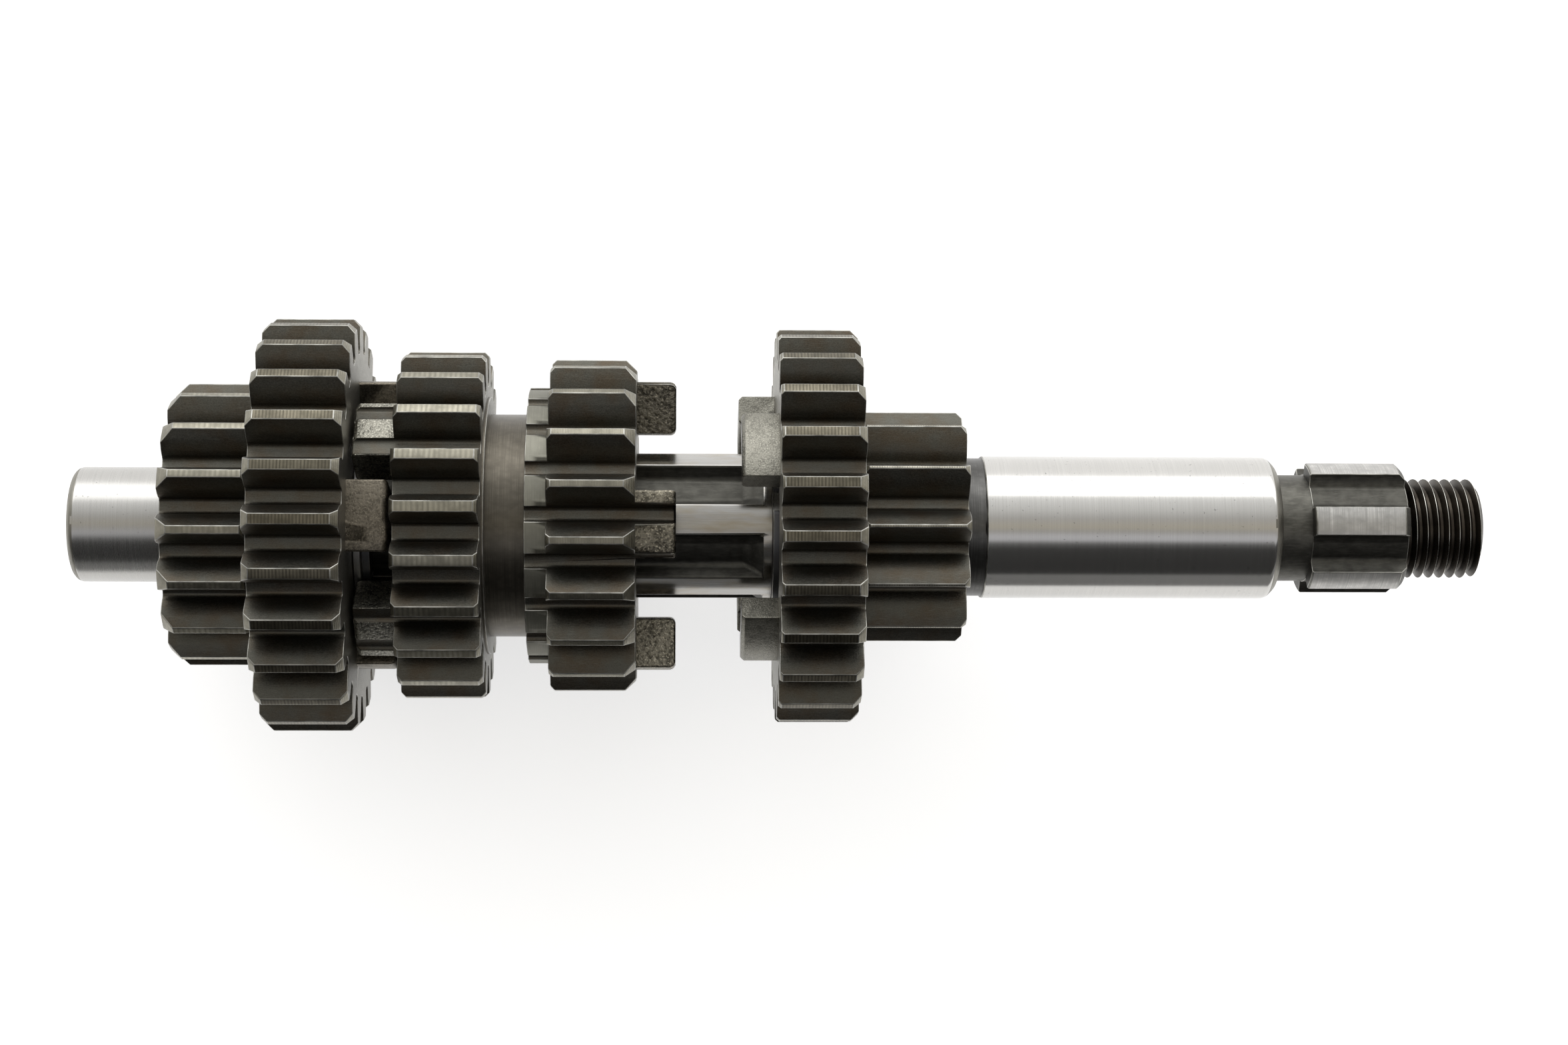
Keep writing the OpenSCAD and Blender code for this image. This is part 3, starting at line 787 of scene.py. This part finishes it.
class SHAFT_OT_fifth_gear(bpy.types.Operator):
    """Dress the free fifth gear and its dogs"""

    bl_idname = "shaft.fifth_gear"
    bl_label = "Fifth gear"

    def execute(self, context):
        sizes = context.scene.shaft_sizes
        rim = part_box("fifth_gear")[0].x + FIFTH_DOG_L

        def paint(x, r, *look):
            if x < rim - FACE_MARGIN and r > FIFTH_DOG_R:
                return "smooth_dog"
            return tooth_paint(TIP_D["fifth"], "ribbed_land", x, r, *look)

        def on_dogs(x, r, run):
            return x < rim - EDGE_MARGIN and r > FIFTH_DOG_EDGE_R

        dress(context, "fifth_gear", "fifth_gear_wheel", paint, rounder=[(on_dogs, sizes.crisp_edge)])
        return {"FINISHED"}


class SHAFT_OT_main_shaft(bpy.types.Operator):
    """Dress the shaft: ground journals, rough grooves, the pinion and the core under the thread"""

    bl_idname = "shaft.main_shaft"
    bl_label = "Main shaft"

    def execute(self, context):
        sizes = context.scene.shaft_sizes
        start, end = (corner.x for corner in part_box("main_shaft"))
        core = sizes.thread_r - sizes.thread_depth
        thread_start = end - sizes.thread_l

        def sink_core(mesh):
            for vert in mesh.verts:
                r = math.hypot(vert.co.y, vert.co.z)
                if vert.co.x > thread_start - VERT_MARGIN and core < r < sizes.thread_r + FACE_MARGIN:
                    vert.co.y *= core / r
                    vert.co.z *= core / r

        def paint(x, r, outward, axial):
            if PINION[0] - EDGE_MARGIN < x < PINION[1] + EDGE_MARGIN and r > SPLINE_TOP_R:
                return tooth_paint(TIP_D["first"], "pinion_land", x, r, outward, axial)
            if SPLINES[0] < x < SPLINES[1]:
                on_top = r > SPLINE_TOP_R and outward > FAIRLY_STRAIGHT
                return "spline_land" if on_top else "milled_groove"
            if PINION[1] < x < JOURNAL[0] - FINE_MARGIN:
                return "relief_groove"
            if JOURNAL[1] + FINE_MARGIN < x < CLUTCH[0]:
                return "neck_skin"
            if CLUTCH[0] <= x < CLUTCH[1] + EDGE_MARGIN:
                on_top = r > CLUTCH_TOP_R and outward > FAIRLY_STRAIGHT
                return "clutch_land" if on_top else "milled_groove"
            if x > CLUTCH[1]:
                return "thread_steel" if x > thread_start + FACE_MARGIN else "neck_skin"
            if axial > SLANTED:
                return "faced_end"
            return "ground_steel" if x > 0 else "outer_journal"

        def along_splines(x, r, run):
            return SPLINES[0] < x < SPLINES[1] and r > SPLINE_TOP_R and run > SPLINE_RUN

        def at_chamfers(x, r, run):
            at_journal_end = abs(x - JOURNAL[1]) < CHAMFER_L and r > JOURNAL_CHAMFER_R
            at_outer_end = x - start < CHAMFER_L and r > OUTER_CHAMFER_R
            return at_journal_end or at_outer_end

        dress(context, "main_shaft", "main_shaft_turned", paint, sink_core,
              [(along_splines, sizes.spline_edge), (at_chamfers, sizes.journal_edge)])
        return {"FINISHED"}


class SHAFT_OT_clutch_thread(bpy.types.Operator):
    """Cut the clutch nut's thread as a ridge that winds round the shaft's core"""

    bl_idname = "shaft.clutch_thread"
    bl_label = "Clutch thread"

    def execute(self, context):
        sizes = context.scene.shaft_sizes
        library = make_steels(context.scene.shaft_colours)
        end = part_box("main_shaft")[1].x
        pitch, crest = sizes.thread_pitch, sizes.thread_r
        foot = crest - sizes.thread_depth - THREAD_FOOT
        half_crest = pitch * CREST_SHARE / 2
        half_foot = half_crest + (crest - foot) * math.tan(THREAD_SLOPE)
        last = end - sizes.thread_from_end + pitch / 2
        first = end - sizes.thread_l + RUN_OUT
        turns = (last - first) / pitch
        steps = round(turns * sizes.thread_steps)

        mesh = bmesh.new()
        corners = [(-half_foot, foot), (-half_crest, crest), (half_crest, crest), (half_foot, foot)]
        ridge = mesh.faces.new([mesh.verts.new((last + x, 0, -r)) for x, r in corners])
        bmesh.ops.spin(
            mesh, geom=[ridge, *ridge.edges, *ridge.verts], cent=(0, 0, 0), axis=(1, 0, 0),
            dvec=(-turns * pitch / steps, 0, 0), angle=-turns * 2 * math.pi, steps=steps,
            use_merge=False, use_duplicate=False,
        )
        bmesh.ops.remove_doubles(mesh, verts=mesh.verts[:], dist=MERGE_DISTANCE)
        bmesh.ops.recalc_face_normals(mesh, faces=mesh.faces[:])
        # The ridge rises out of the core at its start, and is turned down to a chamfer at the shaft's end
        for vert in mesh.verts:
            x = min(vert.co.x, end - FINE_MARGIN)
            r = math.hypot(vert.co.y, vert.co.z)
            rising = foot + (x - first + half_foot) * RUN_OUT_RISE
            limit = min(crest, rising, crest - END_CHAMFER + end - x)
            wanted = min(r, max(limit, foot - THREAD_FOOT))
            vert.co = (x, vert.co.y * wanted / r, vert.co.z * wanted / r)
        mesh.normal_update()
        for face in mesh.faces:
            _, r, outward, _ = describe(face)
            # The crests take the worn crest steel with its painted highlight, the rest the dark thread
            # steel
            face.material_index = 1 if outward > SQUARE_ON and r > crest - TOP_DEPTH else 0
        worn = [library["thread_steel"], library["worn_crest_with_painted_highlight"]]
        made = finish_piece(mesh, "clutch_thread", node_body("main_shaft"), worn)
        return {"FINISHED"}


class SHAFT_OT_rings(bpy.types.Operator):
    """Dress the bushes, the thrust washers and the circlips"""

    bl_idname = "shaft.rings"
    bl_label = "Bushes, washers and circlips"

    def execute(self, context):
        rings = {
            "second_gear_washer": "ring_steel", "sixth_gear_washer": "ring_steel",
            "fifth_gear_washer": "ring_steel", "sixth_gear_bush": "ring_steel",
            "fifth_gear_bush": "ring_steel", "sixth_gear_circlip": "circlip_steel",
            "fifth_gear_circlip": "circlip_steel",
        }
        for node, steel in rings.items():
            dress(context, node, node + "_ring", lambda *place: steel)
        return {"FINISHED"}


class SHAFT_OT_stage(bpy.types.Operator):
    """Set the pale floor, the soft light and the photograph's camera"""

    bl_idname = "shaft.stage"
    bl_label = "Stage"

    def execute(self, context):
        stage = context.scene.shaft_stage
        make_floor(stage.floor_glow)
        make_cards()
        make_room(context.scene)
        make_lamp(stage)
        make_camera(context.scene, stage)
        context.scene.view_settings.view_transform = "Standard"
        return {"FINISHED"}


def make_sheet(name, across, up, middle, material):
    """A flat stage rectangle, given by its two half sides and its middle."""
    mesh = bmesh.new()
    signs = ((-1, -1), (1, -1), (1, 1), (-1, 1))
    corners = [Vector(middle) + a * Vector(across) + b * Vector(up) for a, b in signs]
    mesh.faces.new([mesh.verts.new(corner) for corner in corners])
    data = bpy.data.meshes.new(name)
    mesh.to_mesh(data)
    mesh.free()
    data.materials.append(material)
    sheet = bpy.data.objects.new(name, data)
    bpy.context.scene.collection.objects.link(sheet)
    return sheet


def make_floor(glow_level):
    """A matt white table top under the gears.

    It also glows for camera, mirrored and transmitted rays, so that it shows white there.
    """
    paper = bpy.data.materials.new("white_floor")
    paper.use_nodes = True
    nodes = Nodes(paper.node_tree)
    nodes.tree.nodes.clear()
    ray = nodes.add("ShaderNodeLightPath").outputs
    seen = nodes.maths("MAXIMUM", ray["Is Camera Ray"], ray["Is Glossy Ray"])
    seen = nodes.maths("MAXIMUM", seen, ray["Is Transmission Ray"])
    matt = nodes.add("ShaderNodeBsdfDiffuse")
    nodes.put(matt.inputs["Color"], (FLOOR_WHITE, FLOOR_WHITE, FLOOR_WHITE, 1))
    glow = nodes.add("ShaderNodeEmission")
    nodes.put(glow.inputs["Strength"], nodes.maths("MULTIPLY", seen, glow_level))
    both = nodes.add("ShaderNodeAddShader")
    nodes.put(both.inputs[0], matt.outputs[0])
    nodes.put(both.inputs[1], glow.outputs[0])
    nodes.put(nodes.add("ShaderNodeOutputMaterial").inputs["Surface"], both.outputs[0])
    make_sheet("floor", (FLOOR_HALF, 0, 0), (0, FLOOR_HALF, 0), (0, 0, CAD_BOX[0][2]), paper)


def make_cards():
    """A black card on the near side, and a grey one under it, which only metal mirrors."""
    for name, grey, foot, top in CARDS:
        felt = bpy.data.materials.new(name + "_felt")
        felt.use_nodes = True
        shader = felt.node_tree.nodes["Principled BSDF"]
        shader.inputs["Base Color"].default_value = (grey, grey, grey, 1)
        shader.inputs["Roughness"].default_value = FELT_ROUGHNESS
        middle = (MIDDLE_X, CARD_Y, (foot + top) / 2)
        card = make_sheet(name, (CARD_HALF_W, 0, 0), (0, 0, (top - foot) / 2), middle, felt)
        card.visible_camera = False
        card.visible_diffuse = False
        card.visible_shadow = False


def make_room(scene):
    """A plain room, lighter on the window's side and darker on the near side."""
    world = bpy.data.worlds.new("studio")
    world.use_nodes = True
    scene.world = world
    nodes = Nodes(world.node_tree)
    split = nodes.add("ShaderNodeSeparateXYZ")
    nodes.put(split.inputs[0], nodes.add("ShaderNodeTexCoord").outputs["Generated"])
    shades = nodes.add("ShaderNodeValToRGB")
    nodes.put(shades.inputs["Fac"], nodes.between(split.outputs["Y"], -1, 1))
    stops = shades.color_ramp.elements
    for stop, (position, level) in zip(stops, (ROOM[0], ROOM[-1])):
        stop.position, stop.color = position, (*level, 1)
    for position, level in ROOM[1:-1]:
        stops.new(position).color = (*level, 1)
    nodes.put(world.node_tree.nodes["Background"].inputs["Color"], shades.outputs["Color"])


def make_lamp(stage):
    """The large soft lamp behind the shaft, which faces the shaft's middle."""
    data = bpy.data.lights.new("window_lamp", "AREA")
    data.shape = "RECTANGLE"
    data.size, data.size_y = stage.window_size
    data.energy = stage.window_power
    lamp = bpy.data.objects.new("window_lamp", data)
    bpy.context.scene.collection.objects.link(lamp)
    place = Vector(stage.window_place)
    turn = (place - Vector((MIDDLE_X, 0, 0))).to_track_quat("Z", "Y")
    lamp.matrix_world = Matrix.Translation(place) @ turn.to_matrix().to_4x4()


def make_camera(scene, stage):
    """The photograph's camera: straight above, with the thread end leaning slightly away."""
    view = Vector((math.sin(stage.tilt), 0, -math.cos(stage.tilt)))
    up = Vector((0, 1, 0))
    right = view.cross(up)
    turned_right = math.cos(stage.roll) * right + math.sin(stage.roll) * up
    turned_up = math.cos(stage.roll) * up - math.sin(stage.roll) * right
    place = Vector(stage.aim) - stage.distance * view
    data = bpy.data.cameras.new("camera")
    data.sensor_width = SENSOR_W
    data.lens = stage.lens
    data.clip_start = CLIP_START
    camera = bpy.data.objects.new("camera", data)
    scene.collection.objects.link(camera)
    columns = Matrix((turned_right, turned_up, -view)).transposed().to_4x4()
    camera.matrix_world = Matrix.Translation(place) @ columns
    scene.camera = camera


class SHAFT_PT_panel(bpy.types.Panel):
    """Lists the pieces of the shaft"""

    bl_idname = "SHAFT_PT_panel"
    bl_label = "Gearbox shaft"
    bl_space_type = "VIEW_3D"
    bl_region_type = "UI"
    bl_category = "Gearbox shaft"

    def draw(self, context):
        for operator in OPERATORS:
            self.layout.operator(operator.bl_idname)
        for group in (context.scene.shaft_sizes, context.scene.shaft_colours, context.scene.shaft_stage):
            box = self.layout.box()
            for name in group.__annotations__:
                box.prop(group, name)


OPERATORS = (
    SHAFT_OT_main_shaft,
    SHAFT_OT_clutch_thread,
    SHAFT_OT_second_gear,
    SHAFT_OT_sixth_gear,
    SHAFT_OT_sliding_gear,
    SHAFT_OT_fifth_gear,
    SHAFT_OT_rings,
    SHAFT_OT_stage,
)
CLASSES = (ShapeSizes, SteelColours, StageSettings, *OPERATORS, SHAFT_PT_panel)


def register():
    """Registers the classes and hangs the settings on the scene."""
    for cls in CLASSES:
        bpy.utils.register_class(cls)
    bpy.types.Scene.shaft_sizes = PointerProperty(type=ShapeSizes)
    bpy.types.Scene.shaft_colours = PointerProperty(type=SteelColours)
    bpy.types.Scene.shaft_stage = PointerProperty(type=StageSettings)


def unregister():
    """Takes the settings and the classes away again."""
    del bpy.types.Scene.shaft_stage
    del bpy.types.Scene.shaft_colours
    del bpy.types.Scene.shaft_sizes
    for cls in reversed(CLASSES):
        bpy.utils.unregister_class(cls)


def main():
    """Builds every piece and the stage."""
    register()
    for operator in OPERATORS:
        getattr(bpy.ops.shaft, operator.bl_idname.split(".")[1])()


if __name__ == "__main__":
    main()
